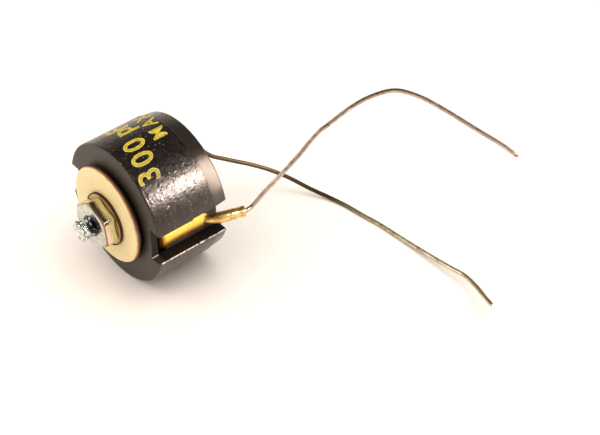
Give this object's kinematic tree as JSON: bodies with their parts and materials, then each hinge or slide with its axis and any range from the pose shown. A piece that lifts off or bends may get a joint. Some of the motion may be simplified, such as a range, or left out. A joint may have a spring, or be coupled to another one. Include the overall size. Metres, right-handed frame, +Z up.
{
  "type": "variable tuning capacitor",
  "caption": "Round compression-type variable capacitor with a moulded drum, a cream pressure disc set by a hexagon nut, side terminal strips and stiff wire leads.",
  "frame": {"origin": "on the table under the middle of the body without its leads, at the bounding box's bottom centre", "axes": "+Z up; the drum's axis lies along Y with the nut and stud towards -Y and the wire leads towards +Y; the side slots are at +X and -X"},
  "size_m": [0.0634, 0.0639, 0.0273],
  "materials": {
    "phenolic": "glossy black moulded phenolic with a fine speckled surface",
    "cream_disc": "satin cream",
    "zinc_steel": "dull zinc plate with a faint yellow tint",
    "brass": "bright brass, a little tarnished",
    "mica": "clear amber mica",
    "fibre": "red-brown vulcanised fibre",
    "solder": "bright solder",
    "tinned_wire": "dull tinned copper"
  },
  "bodies": {
    "drum": {"drum_shell": "phenolic", "core_block": "phenolic", "centre_screw": "zinc_steel", "rear_washer": "zinc_steel", "insulating_bush": "fibre", "foil_right_1": "brass", "foil_left_1": "brass", "foil_right_2": "brass", "foil_left_2": "brass", "foil_right_3": "brass", "foil_left_3": "brass", "mica_sheet_1": "mica", "mica_sheet_2": "mica", "mica_sheet_3": "mica", "mica_sheet_4": "mica", "mica_sheet_5": "mica", "mica_sheet_6": "mica", "mica_sheet_7": "mica", "terminal_right": "brass", "solder_bead_right": "solder", "terminal_left": "brass", "solder_bead_left": "solder", "lead_right": "tinned_wire", "lead_left": "tinned_wire"},
    "disc": {"pressure_plate": "brass", "pressure_disc": "cream_disc", "flat_washer": "fibre"},
    "nut": {"adjusting_nut": "zinc_steel"}
  },
  "joints": [
    {"name": "disc_slide", "type": "slide", "parent": "drum", "child": "disc", "axis": [0, 1, 0], "range_m": [-0.00159, 0.00028]},
    {"name": "nut_turn", "type": "hinge", "parent": "disc", "child": "nut", "pos_m": [0, -0.00898, 0.01269], "axis": [0, 1, 0], "range_deg": [-720, 130]}
  ],
  "couplings": [
    {"joint": "nut_turn", "follows": "disc_slide", "rad_per_m": 7915.8}
  ]
}
